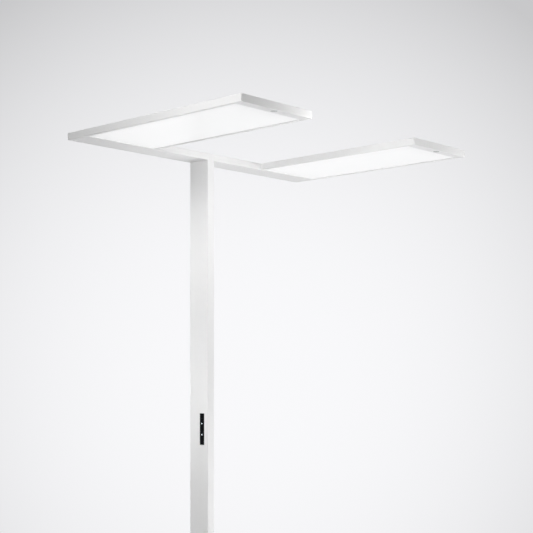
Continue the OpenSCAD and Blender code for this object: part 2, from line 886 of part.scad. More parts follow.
// An L of flat bar with its outer corner at a point; a rear one has only the leg
// along the side and a short turned-in foot, because the rear rail fills the rest
module corner_key(at, dir_u, dir_v) {
  across = dir_v > 0 ? key_leg : key_t;
  translate([at[0], at[1], 0]) mirror([dir_u < 0 ? 1 : 0, 0, 0]) mirror([0, dir_v < 0 ? 1 : 0, 0]) {
    cube([key_t, key_leg, key_h]);
    cube([across, key_t, key_h]);
  }
}

module head_fixing_screws() {
  color(steel) for (side = [-1, 1]) at_fixings(side)
    cap_screw(fixing_r, fixing_head_r, fixing_head_h, fixing_l);
}

module diffuser(side) {
  color("white") in_head(side) translate([rail_wall + fit, stack_front, lip_t])
    cube([head_w - 2 * rail_wall - 2 * fit, head_len - rear_lip - fit - stack_front, diffuser_t]);
}

module stack_plate(side, z, t) {
  in_head(side) translate([guide_side, stack_front, z])
    cube([head_w - 2 * guide_side, stack_back - stack_front, t]);
}

module light_guide(side) { color("azure") stack_plate(side, guide_z, guide_t); }
module back_plate(side) { color(steel) stack_plate(side, back_z, back_t); }
module reflectors() {
  color("white") for (side = [-1, 1]) stack_plate(side, reflector_z, reflector_t);
}

module led_strips(side) {
  strip_len = head_len - 2 * strip_margin;
  count = floor(strip_len / led_pitch);
  color(board_green) in_head(side) for (flip = [0, 1])
    translate([flip * head_w, 0, 0]) mirror([flip, 0, 0]) translate([rail_wall, strip_margin, guide_z]) {
      cube([led_strip_t, strip_len, key_h]);
      for (i = [0 : count - 1])
        translate([led_strip_t - eps, (i + 0.5) * strip_len / count - led_size / 2,
                   (guide_t - led_size) / 2])
          cube([led_t + eps, led_size, led_size]);
    }
}

module uplight_board(side) {
  w = uplight_w - 10;
  l = uplight_l;
  count = floor(l / (1.5 * led_pitch));
  color(board_green) in_head(side) translate([(head_w - w) / 2, (head_len - l) / 2, board_z]) {
    cube([w, l, board_t]);
    for (u = [0.25, 0.75], i = [0 : count - 1])
      translate([u * w - led_size / 2, (i + 0.5) * l / count - led_size / 2, board_t - eps])
        cube([led_size, led_size, led_t + eps]);
    for (v = [-connector_l, l])
      translate([(w - connector_w) / 2, v, 0]) cube([connector_w, connector_l, connector_h]);
  }
}

module top_cover(side) {
  color(white) in_head(side) difference() {
    translate([rail_wall + fit, rail_wall + fit, cover_z])
      cube([head_w - 2 * rail_wall - 2 * fit, head_len - rail_wall - rear_lip - 2 * fit, cover_t]);
    uplight_window(uplight_w, uplight_l, cover_z - 1, cover_t + 2);
    uplight_window(uplight_w + 2 * lens_flange, uplight_l + 2 * lens_flange, cover_z - 1, rebate_t + 1);
    at_head_cover_screws() countersunk_hole(cover_screw_r, cover_head_r, cover_screw_l);
  }
}

module uplight_window(w, l, z, t) {
  translate([(head_w - w) / 2, (head_len - l) / 2, z]) cube([w, l, t]);
}

module uplight_lens(side) {
  color("white") in_head(side) {
    uplight_window(uplight_w - 2 * fit, uplight_l - 2 * fit, cover_z, cover_t);
    uplight_window(uplight_w + 2 * lens_flange - 2 * fit, uplight_l + 2 * lens_flange - 2 * fit, cover_z,
                   rebate_t);
  }
}

module head_cover_screws() {
  color(steel) both_heads() at_head_cover_screws() countersunk(cover_screw_r, cover_head_r, cover_screw_l);
}

// A lens with a collar in the lip, a thin flange below and a shallow dome
module sensor_lenses() {
  dome_r = (sensor_r * sensor_r + sensor_drop * sensor_drop) / (2 * sensor_drop);
  flange_t = 0.6;
  color("gray") both_heads() translate([head_w / 2, sensor_v, 0]) {
    cylinder(r = sensor_r, h = lip_t);
    translate([0, 0, -flange_t]) cylinder(r = sensor_r + sensor_flange, h = flange_t);
    intersection() {
      translate([0, 0, dome_r - flange_t - sensor_drop]) sphere(r = dome_r, $fn = 96);
      translate([0, 0, -flange_t - sensor_drop - 1]) cylinder(r = sensor_r, h = sensor_drop + 1 + eps);
    }
  }
}

module sensor_housings() {
  color(black) both_heads() translate([head_w / 2, sensor_v, lip_t])
    cylinder(r = sensor_r + housing_wall, h = sensor_body_h);
}

base_plate();
base_glides();
foot_gasket();
foot_block();
foot_screws();
column();
column_screws();
cable_gland();
gland_cap();
gland_nut();
driver_tray();
led_drivers();
driver_screws();
terminal_block();
control_housing();
control_bezel();
control_board();
inner_leads();
upper_key();
lower_key();
upper_key_dot();
lower_key_dot();
top_block();
top_screws();
crossbar();
crossbar_cover();
crossbar_cover_screws();
end_caps();
end_cap_screws();
lead_grommets();
head_leads();
head_corner_keys();
head_fixing_screws();
head_cover_screws();
sensor_lenses();
sensor_housings();
reflectors();
outer_rail(-1);  // left_outer_rail
inner_rail(-1);  // left_inner_rail
front_rail(-1);  // left_front_rail
rear_rail(-1);  // left_rear_rail
diffuser(-1);  // left_diffuser
light_guide(-1);  // left_light_guide
back_plate(-1);  // left_back_plate
led_strips(-1);  // left_led_strips
uplight_board(-1);  // left_uplight_board
uplight_lens(-1);  // left_uplight_lens
top_cover(-1);  // left_top_cover
outer_rail(1);  // right_outer_rail
inner_rail(1);  // right_inner_rail
front_rail(1);  // right_front_rail
rear_rail(1);  // right_rear_rail
diffuser(1);  // right_diffuser
light_guide(1);  // right_light_guide
back_plate(1);  // right_back_plate
led_strips(1);  // right_led_strips
uplight_board(1);  // right_uplight_board
uplight_lens(1);  // right_uplight_lens
top_cover(1);  // right_top_cover
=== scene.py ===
# %% [markdown]
# # An office floor lamp
#
# The lamp is a few flat, straight pieces: a steel plate on the floor, a slim rectangular column, a
# crossbar and two thin luminous heads. Such a plain object is hard to make convincing, because there is
# nothing to hide behind. What makes it look real is the small things: the rounded edge that catches the
# light, the fine skin of the powder coat, the hairline between two pieces, and the even glow of the
# panels.
#
# The construction comes first and is fixed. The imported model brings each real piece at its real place,
# and this script only dresses it.

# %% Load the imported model
import json
import math
import bmesh
import bpy
from mathutils import Matrix, Vector

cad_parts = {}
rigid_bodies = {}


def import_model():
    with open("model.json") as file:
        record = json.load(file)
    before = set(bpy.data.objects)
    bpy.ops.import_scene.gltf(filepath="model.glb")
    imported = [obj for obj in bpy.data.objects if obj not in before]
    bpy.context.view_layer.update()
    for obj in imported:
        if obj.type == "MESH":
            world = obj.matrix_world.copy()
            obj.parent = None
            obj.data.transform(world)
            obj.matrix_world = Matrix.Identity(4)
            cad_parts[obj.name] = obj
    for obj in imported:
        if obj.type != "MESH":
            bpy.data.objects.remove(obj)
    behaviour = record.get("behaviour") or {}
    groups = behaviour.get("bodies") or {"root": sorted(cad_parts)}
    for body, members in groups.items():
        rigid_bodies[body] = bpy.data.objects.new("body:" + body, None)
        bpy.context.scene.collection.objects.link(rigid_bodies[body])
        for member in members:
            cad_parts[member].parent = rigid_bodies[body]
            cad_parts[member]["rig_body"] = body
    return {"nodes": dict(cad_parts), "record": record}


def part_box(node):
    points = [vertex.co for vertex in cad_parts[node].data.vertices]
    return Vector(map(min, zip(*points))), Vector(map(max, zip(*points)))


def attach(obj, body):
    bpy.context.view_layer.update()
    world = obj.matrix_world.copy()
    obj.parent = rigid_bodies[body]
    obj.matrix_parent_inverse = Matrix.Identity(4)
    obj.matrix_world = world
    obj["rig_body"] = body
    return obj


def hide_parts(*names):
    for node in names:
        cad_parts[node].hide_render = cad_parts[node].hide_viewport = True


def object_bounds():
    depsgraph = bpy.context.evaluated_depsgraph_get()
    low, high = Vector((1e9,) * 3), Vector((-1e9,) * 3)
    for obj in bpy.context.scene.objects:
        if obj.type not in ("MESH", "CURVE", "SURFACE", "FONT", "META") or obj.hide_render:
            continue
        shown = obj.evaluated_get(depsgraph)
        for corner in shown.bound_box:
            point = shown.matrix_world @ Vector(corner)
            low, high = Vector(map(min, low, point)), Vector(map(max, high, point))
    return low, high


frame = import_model()
cad_low, cad_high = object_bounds()
nodes = frame["nodes"]
mm = 0.001

# %% [markdown]
# ## The camera
#
# A camera is described by where it stands, where it looks and how long its lens is. The lamp is seen from
# the front left and from chest height, so the undersides of both heads show. The column's edges run
# exactly upright, which means that the camera itself looks level: an architect's camera raises the view
# by shifting the lens and not by tipping the body. A long lens keeps the two heads nearly parallel.

# %% Set up the camera
view_turn = math.radians(47.16)
camera_place = Vector((-2.3677, -2.1885, 1.3007))

camera = bpy.data.objects.new("camera", bpy.data.cameras.new("camera"))
bpy.context.scene.collection.objects.link(camera)
camera.location = camera_place
camera.rotation_euler = (math.radians(90), 0, -view_turn)
camera.data.sensor_width = 36
camera.data.lens = 77.63
camera.data.shift_y = 0.2028
bpy.context.scene.camera = camera
bpy.context.scene.view_settings.view_transform = "Standard"
lamp_middle = (cad_low + cad_high) / 2
print("camera is", round((camera_place - lamp_middle).length, 2), "m from the middle of the lamp")

# %% [markdown]
# ## Node helpers
#
# Every finish below is a small graph of shader nodes. Three short helpers keep those graphs readable: one
# makes a node and plugs in its inputs, one starts a node group, and one does a single step of arithmetic.
# A group is the right home for an effect that several finishes share, because it is built once and then
# placed with other values in each of them.

# %% Make nodes and groups
def add_node(tree, kind, inputs=None, **settings):
    """Adds a node, sets its settings, and links or sets its inputs."""
    node = tree.nodes.new(kind)
    for key, value in settings.items():
        setattr(node, key, value)
    for key, value in (inputs or {}).items():
        if isinstance(value, bpy.types.NodeSocket):
            tree.links.new(value, node.inputs[key])
        else:
            node.inputs[key].default_value = value
    return node


def start_group(name, inputs, outputs):
    """Starts a node group. inputs is {name: (type, value)} and outputs is {name: type}."""
    group = bpy.data.node_groups.new(name, "ShaderNodeTree")
    for key, (kind, value) in inputs.items():
        socket = group.interface.new_socket(key, in_out="INPUT", socket_type="NodeSocket" + kind)
        if value is not None:
            socket.default_value = value
    for key, kind in outputs.items():
        group.interface.new_socket(key, in_out="OUTPUT", socket_type="NodeSocket" + kind)
    return group, group.nodes.new("NodeGroupInput").outputs, group.nodes.new("NodeGroupOutput").inputs


def math_node(tree, operation, first, second=None, third=None, clamp=False):
    """One arithmetic step, returned as its output socket."""
    node = tree.nodes.new("ShaderNodeMath")
    node.operation = operation
    node.use_clamp = clamp
    for socket, value in zip(node.inputs, (first, second, third)):
        if isinstance(value, bpy.types.NodeSocket):
            tree.links.new(value, socket)
        elif value is not None:
            socket.default_value = value
    return node.outputs[0]


# %% [markdown]
# ## Shared effects
#
# Four effects turn a flat colour into a surface. *Skin* is the fine relief that a coating or a mould
# leaves, made of noise at two scales. *Drift* is the slow change of tone over a large face. *Handling* is
# the thin veil of dust and the few soft rub marks that a used lamp carries. *Drawn lines* are the long
# fine scratches of plated or rolled metal. All of them read the object's own coordinates in metres, so a
# scale of 1000 is about a millimetre.

# %% Build the shared effects
def mix_colours(group, weight, low, high):
    """A colour between two others, by a weight."""
    mixed = add_node(group, "ShaderNodeMix", {0: weight}, data_type="RGBA")
    group.links.new(low, mixed.inputs[6])
    group.links.new(high, mixed.inputs[7])
    return mixed.outputs[2]


def skin_group():
    """Noise at two scales, less a scatter of shallow pits."""
    fine_share, broad_share, broad_scale = 0.6, 0.4, 0.31
    pit_reach, pit_depth = 0.22, 0.3
    group, given, made = start_group(
        "skin",
        {"Vector": ("Vector", None), "Scale": ("Float", 900.0)},
        {"Height": "Float", "Mask": "Float"},
    )
    where = given["Vector"]
    slower = math_node(group, "MULTIPLY", given["Scale"], broad_scale)
    fine = add_node(group, "ShaderNodeTexNoise", {"Vector": where, "Scale": given["Scale"], "Detail": 3.0})
    broad = add_node(group, "ShaderNodeTexNoise", {"Vector": where, "Scale": slower, "Detail": 1.0})
    cells = add_node(group, "ShaderNodeTexVoronoi", {"Vector": where, "Scale": slower})
    rise = math_node(group, "MULTIPLY", broad.outputs["Fac"], broad_share)
    relief = math_node(group, "MULTIPLY_ADD", fine.outputs["Fac"], fine_share, rise)
    pit = math_node(group, "SUBTRACT", pit_reach, cells.outputs["Distance"], clamp=True)
    sunk = math_node(group, "MULTIPLY", pit, pit_depth)
    group.links.new(math_node(group, "SUBTRACT", relief, sunk), made["Height"])
    group.links.new(broad.outputs["Fac"], made["Mask"])
    return group


def drift_group():
    """A slow change between two colours."""
    group, given, made = start_group(
        "drift",
        {"Vector": ("Vector", None), "Scale": ("Float", 3.0),
         "Low": ("Color", None), "High": ("Color", None)},
        {"Color": "Color"},
    )
    noise = add_node(group, "ShaderNodeTexNoise", {
        "Vector": given["Vector"], "Scale": given["Scale"], "Detail": 4.0})
    spread = add_node(group, "ShaderNodeMapRange", {
        "Value": noise.outputs["Fac"], "From Min": 0.3, "From Max": 0.7})
    mixed = mix_colours(group, spread.outputs["Result"], given["Low"], given["High"])
    group.links.new(mixed, made["Color"])
    return group


def handling_group():
    """Half a soft veil of dust and half a few long rub marks, laid over a clean colour."""
    veil_scale, rub_scales, rub_from, rub_to, share = 9.0, (60.0, 60.0, 9.0), 0.58, 0.75, 0.5
    group, given, made = start_group(
        "handling",
        {"Vector": ("Vector", None), "Clean": ("Color", None), "Dusty": ("Color", None),
         "Amount": ("Float", 0.2)},
        {"Color": "Color"},
    )
    where = given["Vector"]
    veil = add_node(group, "ShaderNodeTexNoise", {"Vector": where, "Scale": veil_scale, "Detail": 6.0})
    stretched = add_node(group, "ShaderNodeMapping", {"Vector": where, "Scale": rub_scales})
    rubs = add_node(group, "ShaderNodeTexNoise", {
        "Vector": stretched.outputs["Vector"], "Scale": 1.0, "Detail": 5.0})
    thin = add_node(group, "ShaderNodeMapRange", {
        "Value": rubs.outputs["Fac"], "From Min": rub_from, "From Max": rub_to})
    marks = math_node(group, "MULTIPLY", thin.outputs["Result"], share)
    both = math_node(group, "MULTIPLY_ADD", veil.outputs["Fac"], share, marks, clamp=True)
    weight = math_node(group, "MULTIPLY", both, given["Amount"], clamp=True)
    group.links.new(mix_colours(group, weight, given["Clean"], given["Dusty"]), made["Color"])
    return group


def drawn_lines_group():
    """Noise that is pulled out along one direction."""
    group, given, made = start_group(
        "drawn_lines",
        {"Vector": ("Vector", None), "Along": ("Vector", (1.0, 1.0, 0.02)), "Scale": ("Float", 1500.0)},
        {"Height": "Float", "Mask": "Float"},
    )
    pulled = add_node(group, "ShaderNodeVectorMath", {
        0: given["Vector"], 1: given["Along"]}, operation="MULTIPLY")
    noise = add_node(group, "ShaderNodeTexNoise", {
        "Vector": pulled.outputs["Vector"], "Scale": given["Scale"], "Detail": 2.0})
    group.links.new(noise.outputs["Fac"], made["Height"])
    group.links.new(noise.outputs["Fac"], made["Mask"])
    return group


SKIN, DRIFT, HANDLING, DRAWN_LINES = skin_group(), drift_group(), handling_group(), drawn_lines_group()
print("shared effects:", [group.name for group in (SKIN, DRIFT, HANDLING, DRAWN_LINES)])

# %% [markdown]
# ## The finishes
#
# One function lays the effects under a Principled shader, and each finish calls it with its own numbers.
# The colour is always a pair, because no real surface has one: paint thins at a hollow, rubber greys
# where it is touched. The roughness is a pair too, which breaks up a reflection more than any colour
# does. Constants such as the sheen of the clear coat stay on the shader itself.

# %% Build a finish
def placed(tree, group, vector, **values):
    """Places a shared effect in a material with its own values."""
    node = tree.nodes.new("ShaderNodeGroup")
    node.node_tree = group
    tree.links.new(vector, node.inputs["Vector"])
    for key, value in values.items():
        node.inputs[key].default_value = value
    return node


def rgba(colour):
    return (*colour, 1.0)


dust_colour = (0.42, 0.41, 0.39)


def finish(name, low, high, roughness, grain, relief, drift=3.0, dust=0.0, lines=None, metallic=0.0,
           coat=0.0, specular=0.5):
    """Makes a material from a pair of colours and a pair of roughness values.

    grain is the scale of the relief and relief its depth in mm, drift is the scale of the slow change of
    tone, dust is the strength of the veil, and lines is the stretch of the drawn lines, if it has any.
    """
    material = bpy.data.materials.new(name)
    material.use_nodes = True
    material.diffuse_color = rgba(high)
    tree = material.node_tree
    shader = tree.nodes["Principled BSDF"]
    where = tree.nodes.new("ShaderNodeTexCoord").outputs["Object"]
    tone = placed(tree, DRIFT, where, Scale=drift, Low=rgba(low), High=rgba(high))
    colour = tone.outputs["Color"]
    if dust:
        veil = placed(tree, HANDLING, where, Amount=dust, Dusty=rgba(dust_colour))
        tree.links.new(colour, veil.inputs["Clean"])
        colour = veil.outputs["Color"]
    if lines:
        surface = placed(tree, DRAWN_LINES, where, Along=lines, Scale=grain)
    else:
        surface = placed(tree, SKIN, where, Scale=grain)
    rough = add_node(tree, "ShaderNodeMapRange", {
        "Value": surface.outputs["Mask"], "From Min": 0.3, "From Max": 0.7,
        "To Min": roughness[0], "To Max": roughness[1]})
    bump = add_node(tree, "ShaderNodeBump", {
        "Height": surface.outputs["Height"], "Strength": 1.0, "Distance": relief * mm})
    tree.links.new(colour, shader.inputs["Base Color"])
    tree.links.new(rough.outputs["Result"], shader.inputs["Roughness"])
    tree.links.new(bump.outputs["Normal"], shader.inputs["Normal"])
    shader.inputs["Metallic"].default_value = metallic
    shader.inputs["Coat Weight"].default_value = coat
    shader.inputs["Specular IOR Level"].default_value = specular
    return material


# %% [markdown]
# The lamp's body is powder coated. The powder melts to a satin white skin with the faint ripple known as
# orange peel, about a millimetre from crest to crest. Aluminium and steel take the same coat, but the
# plate on the floor meets shoes and a vacuum cleaner, so it carries more dust and rub marks.

# %% The coated, plated and moulded finishes
finishes = {
    "coated_aluminium": finish(
        "powder_coat", (0.84, 0.839, 0.838), (0.868, 0.867, 0.866), (0.36, 0.46),
        grain=950, relief=0.012, dust=0.05),
    "coated_steel": finish(
        "powder_coat_on_the_plate", (0.805, 0.804, 0.803), (0.845, 0.844, 0.843), (0.4, 0.54),
        grain=800, relief=0.02, drift=6, dust=0.22),
    "plain_steel": finish(
        "zinc_plate", (0.45, 0.46, 0.48), (0.62, 0.62, 0.63), (0.24, 0.42),
        grain=1400, relief=0.01, drift=60, lines=(1.0, 1.0, 0.08), metallic=1.0),
    "plain_aluminium": finish(
        "rolled_sheet", (0.66, 0.67, 0.68), (0.76, 0.77, 0.78), (0.26, 0.4),
        grain=1700, relief=0.01, lines=(1.0, 0.03, 1.0), metallic=1.0),
    "black_rubber": finish(
        "moulded_rubber", (0.02, 0.02, 0.02), (0.045, 0.045, 0.045), (0.6, 0.8),
        grain=1500, relief=0.06, drift=40, dust=0.08),
    "glide_rubber": finish(
        "glide_pad", (0.03, 0.03, 0.03), (0.07, 0.068, 0.065), (0.65, 0.9),
        grain=1100, relief=0.1, drift=40, dust=0.25),
    "black_plastic": finish(
        "spark_textured_black", (0.022, 0.022, 0.023), (0.05, 0.05, 0.052), (0.42, 0.6),
        grain=2200, relief=0.06, drift=30, dust=0.06),
    "gloss_black": finish(
        "polished_black", (0.003, 0.003, 0.004), (0.006, 0.006, 0.007), (0.2, 0.3),
        grain=700, relief=0.006, drift=25, dust=0.006, specular=0.03),
    "light_dot": finish(
        "light_pipe", (0.62, 0.65, 0.68), (0.8, 0.83, 0.86), (0.2, 0.35),
        grain=3000, relief=0.01, drift=300),
    "white_plastic": finish(
        "driver_casing", (0.74, 0.74, 0.72), (0.82, 0.82, 0.8), (0.4, 0.55),
        grain=1500, relief=0.05, drift=12),
    "circuit_board": finish(
        "solder_resist", (0.66, 0.69, 0.65), (0.8, 0.82, 0.79), (0.25, 0.5),
        grain=600, relief=0.02, drift=90),
    "lead_sheath": finish(
        "lead_sheath", (0.25, 0.25, 0.25), (0.36, 0.36, 0.36), (0.45, 0.6),
        grain=1800, relief=0.03, drift=20),
    "reflector_film": finish(
        "reflector_film", (0.9, 0.9, 0.9), (0.95, 0.95, 0.95), (0.5, 0.65),
        grain=2500, relief=0.01),
}
pipe = finishes["light_dot"].node_tree.nodes["Principled BSDF"]
pipe.inputs["Emission Color"].default_value = (0.85, 0.93, 1.0, 1.0)
pipe.inputs["Emission Strength"].default_value = 1.6
print("finishes:", sorted(finishes))

# %% [markdown]
# ## The glowing panels
#
# Each head is lit from the side: rows of LEDs feed a clear plate, dots on the plate scatter the light
# downwards and an opal sheet evens it out. Seen from the room it is one calm white field, a trace dimmer
# at its rim. The sheet is therefore given its own light as an emission colour, which falls off towards
# the rim of each panel. Its base colour is darker than the coat, so that the room's light and its own
# light together stay just under white.

# %% Build the light-giving finishes
def panel_glow_group():
    """A colour that turns from Bright to Rim near a panel's rim, on the right and mirrored on the left."""
    rim_sharpness = 9.0
    group, given, made = start_group(
        "panel_glow",
        {"Vector": ("Vector", None), "Middle": ("Vector", None), "Half size": ("Vector", None),
         "Bright": ("Color", None), "Rim": ("Color", None)},
        {"Color": "Color"},
    )
    parts = add_node(group, "ShaderNodeSeparateXYZ", {0: given["Vector"]})
    mirrored = add_node(group, "ShaderNodeCombineXYZ", {
        "X": math_node(group, "ABSOLUTE", parts.outputs["X"]), "Y": parts.outputs["Y"]})
    shifted = add_node(group, "ShaderNodeVectorMath", {
        0: mirrored.outputs["Vector"], 1: given["Middle"]}, operation="SUBTRACT")
    scaled = add_node(group, "ShaderNodeVectorMath", {
        0: shifted.outputs["Vector"], 1: given["Half size"]}, operation="DIVIDE")
    reach = add_node(group, "ShaderNodeVectorMath", {0: scaled.outputs["Vector"]}, operation="ABSOLUTE")
    reach_parts = add_node(group, "ShaderNodeSeparateXYZ", {0: reach.outputs["Vector"]})
    rim = math_node(group, "MAXIMUM", reach_parts.outputs["X"], reach_parts.outputs["Y"])
    weight = math_node(group, "POWER", rim, rim_sharpness, clamp=True)
    group.links.new(mix_colours(group, weight, given["Bright"], given["Rim"]), made["Color"])
    return group


PANEL_GLOW = panel_glow_group()


def lit_finish(name, node, body, bright, rim, grain, relief, lines=None):
    """An opal sheet with its own light. node names the panel on the right-hand side."""
    deeper_body = [0.9 * part for part in body]
    material = finish(name, deeper_body, body, (0.3, 0.42), grain, relief, drift=20, lines=lines)
    tree = material.node_tree
    shader = tree.nodes["Principled BSDF"]
    where = tree.nodes.new("ShaderNodeTexCoord").outputs["Object"]
    low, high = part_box(node)
    middle = (low + high) / 2
    half = (high - low) / 2
    glow = placed(
        tree, PANEL_GLOW, where, Middle=(middle.x, middle.y, 0.0), Bright=rgba(bright), Rim=rgba(rim))
    glow.inputs["Half size"].default_value = (half.x, half.y, 1.0)
    tree.links.new(glow.outputs["Color"], shader.inputs["Emission Color"])
    shader.inputs["Emission Strength"].default_value = 1.0
    return material


finishes["lit_diffuser"] = lit_finish(
    "opal_sheet", "right_diffuser", body=(0.3, 0.3, 0.3), bright=(0.592, 0.594, 0.597),
    rim=(0.542, 0.544, 0.547), grain=900, relief=0.005)
finishes["uplight_lens"] = lit_finish(
    "ribbed_lens", "right_uplight_lens", body=(0.34, 0.35, 0.35), bright=(0.6, 0.605, 0.615),
    rim=(0.5, 0.505, 0.515), grain=500, relief=0.25, lines=(1.0, 0.002, 0.002))
print("panels lit:", sorted(set(finishes) & {"lit_diffuser", "uplight_lens"}))

# %% [markdown]
# Two clear plastics are left. The light guide is plain glass-like acrylic, so its transmission is a constant
# on the shader. The sensor's lens is a milky grey plastic that lets infrared through, and its smooth skin
# picks up a soft reflection of the pale room.

# %% The clear plastics
acrylic = finish(
    "clear_acrylic", (0.9, 0.94, 0.95), (0.94, 0.97, 0.98), (0.02, 0.06), grain=400, relief=0.004, drift=8)
acrylic.node_tree.nodes["Principled BSDF"].inputs["Transmission Weight"].default_value = 0.9
finishes["clear_acrylic"] = acrylic
finishes["sensor_lens"] = finish(
    "infrared_lens", (0.6, 0.6, 0.605), (0.68, 0.68, 0.685), (0.2, 0.32),
    grain=1600, relief=0.02, drift=120, coat=0.3)

slots = {part["node"]: part["material_slot"] for part in frame["record"]["subparts"]}
missing = sorted(set(slots.values()) - set(finishes))
assert not missing, missing


def dress(piece, slot_name):
    """Gives a piece the finish of one of the record's slots."""
    piece.data.materials.clear()
    piece.data.materials.append(finishes[slot_name])


for node_name, slot_name in slots.items():
    dress(nodes[node_name], slot_name)
print("dressed", len(slots), "construction pieces in", len(finishes), "finishes")

# %% [markdown]
# ## Rounding the edges
#
# No real edge is perfectly sharp. An extrusion leaves its die with a radius of about half a millimetre
# and paint rounds it further, and that thin band of turned surface is what catches the light. The
# construction's solids have sharp edges, so the coated pieces, the screws, the controls and the gland get
# copies with rounded ones: a copy's loose triangles are merged, flat areas are joined back into single
# faces, and the bevel operator rounds a chosen set of edges. Where two pieces lie flush, the edges
# between them stay sharp, because there the seam is a hairline.
#
# After a bevel the flat faces must still look flat. The Weighted Normal modifier gives the large faces
# the last word on the shading along their borders.

# %% Helpers that finish a mesh as a piece
def make_piece(bm, name, body, slot_name, *replaced, flat_under=32.0):
    """Turns a bmesh into a finished piece on a body, in place of some construction pieces."""
    mesh = bpy.data.meshes.new(name)
    bm.to_mesh(mesh)
    bm.free()
    piece = bpy.data.objects.new(name, mesh)
    bpy.context.scene.collection.objects.link(piece)
    mesh.shade_smooth()
    mesh.set_sharp_from_angle(angle=math.radians(flat_under))
    evened = piece.modifiers.new("evened_shading", "WEIGHTED_NORMAL")
    evened.keep_sharp = True
    dress(piece, slot_name)
    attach(piece, body)
    if replaced:
        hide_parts(*replaced)
    return piece


def merged_copy(node_name):
    """A bmesh of a construction piece with its triangles merged into whole faces."""
    weld, flat_within = 0.002 * mm, math.radians(0.4)
    bm = bmesh.new()
    bm.from_mesh(nodes[node_name].data)
    bmesh.ops.remove_doubles(bm, verts=bm.verts, dist=weld)
    bmesh.ops.dissolve_limit(bm, angle_limit=flat_within, verts=bm.verts, edges=bm.edges)
    return bm


def middle_of(edge):
    return sum((vert.co for vert in edge.verts), Vector()) / 2


def round_edges(node_name, radius, longer_than=0.0, where=None, steps=3):
    """Replaces a construction piece by a copy whose outward edges are rounded.

    radius and longer_than are in mm. where picks edges by the place of their middle.
    """
    corner = math.radians(40)
    bm = merged_copy(node_name)
    chosen = [
        edge for edge in bm.edges
        if len(edge.link_faces) == 2
        and edge.calc_face_angle_signed(0.0) > corner
        and edge.calc_length() > longer_than * mm
        and (where is None or where(middle_of(edge)))
    ]
    bmesh.ops.bevel(
        bm, geom=chosen, offset=radius * mm, offset_type="OFFSET", affect="EDGES", segments=steps,
        profile=0.5, material=-1, clamp_overlap=True)
    made = make_piece(bm, "finished_" + node_name, nodes[node_name]["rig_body"], slots[node_name], node_name)
    print(f"{node_name}: {len(chosen)} edges rounded, {len(made.data.polygons)} faces")
    return made


# %% [markdown]
# The plate on the floor is 8 mm steel with its rim ground round. Only the rim is chosen: the pockets of
# the glides and the countersinks beneath stay crisp. On the column, the crossbar and the rails the edges
# are chosen by their length, which takes the long edges of a profile and leaves its screw holes and its
# ends, where it meets its neighbour.

# %% Round the coated pieces
plate_low, plate_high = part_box("base_plate")
rim_band = 11 * mm
seam = 1 * mm
bar_low, bar_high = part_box("crossbar")


def on_plate_rim(place):
    to_side = min(place.x - plate_low.x, plate_high.x - place.x)
    to_end = min(place.y - plate_low.y, plate_high.y - place.y)
    from_middle = abs(place.z - (plate_low.z + plate_high.z) / 2)
    return min(to_side, to_end) < rim_band and from_middle > seam


def on_end_cap_outside(place):
    far_out = abs(place.x) > bar_high.x + seam
    return far_out and place.y > bar_low.y + seam


round_edges("base_plate", 1.4, where=on_plate_rim, steps=4)
round_edges("column", 0.9, longer_than=300)
round_edges("crossbar", 0.6, longer_than=300)
round_edges("crossbar_cover", 0.1, longer_than=60)
round_edges("end_caps", 0.6, longer_than=2, where=on_end_cap_outside)
for side in ("left", "right"):
    for rail in ("outer_rail", "inner_rail", "front_rail"):
        round_edges(f"{side}_{rail}", 0.6, longer_than=100)
    round_edges(f"{side}_rear_rail", 0.35, longer_than=100)
    round_edges(f"{side}_top_cover", 0.4, longer_than=60)

# %% [markdown]
# ## Screws
#
# The screws are small, but they tell how the lamp comes apart. Those of the end caps are coated like the
# caps, and the others are plated and the only bare metal that shows. Their heads already have a true
# hexagon socket. A fifth of a millimetre off every rim turns them from paper cut-outs into pressed steel.

# %% Round the screws
for fastened in ("foot", "column", "crossbar_cover", "end_cap", "head_cover"):
    round_edges(fastened + "_screws", 0.18, steps=2)

# %% [markdown]
# ## Controls
#
# A black strip is let into the column's left face at hand height. Its bezel frames two sprung keys, the
# upper one for the light above and the lower one for the light below, and each key has a small light dot.
# Only the edges of the outward face are rounded: the rest lies inside the column. The dots are turned on
# a lathe, which in Blender is the spin operator: a half outline goes once round an axis.

# %% Round the strip and the keys, and turn the dots
strip_low, strip_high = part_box("control_bezel")
key_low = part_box("upper_key")[0]
face_skin = 0.1 * mm


def on_strip_front(place):
    return place.x < strip_low.x + face_skin


def on_key_front(place):
    return place.x < key_low.x + face_skin


def turned(outline, centre, axis, steps=48):
    """Spins a half outline, given as (radius, height) in mm, about an axis through a centre."""
    bm = bmesh.new()
    points = [bm.verts.new((radius * mm, 0, height * mm)) for radius, height in outline]
    edges = [bm.edges.new(pair) for pair in zip(points, points[1:])]
    bmesh.ops.spin(
        bm, geom=points + edges, cent=(0, 0, 0), axis=(0, 0, 1), angle=2 * math.pi, steps=steps,
        use_merge=True, use_duplicate=False)
    bmesh.ops.remove_doubles(bm, verts=bm.verts, dist=0.0005 * mm)
    stand = Vector((0, 0, 1)).rotation_difference(Vector(axis)).to_matrix().to_4x4()
    bmesh.ops.transform(bm, matrix=Matrix.Translation(centre) @ stand, verts=bm.verts)
    bmesh.ops.recalc_face_normals(bm, faces=bm.faces)
    return bm


def join(parts):
    """Puts several bmeshes into one."""
    whole = bmesh.new()
    for part in parts:
        loose = bpy.data.meshes.new("loose")
        part.to_mesh(loose)
        part.free()
        whole.from_mesh(loose)
        bpy.data.meshes.remove(loose)
    return whole


def dot_outline(radius, depth):
    """A short pin whose end swells into a shallow crown."""
    return [(0, depth + 0.12), (0.4 * radius, depth + 0.1), (0.75 * radius, depth + 0.05),
            (radius, depth - 0.05), (radius, 0), (0, 0)]


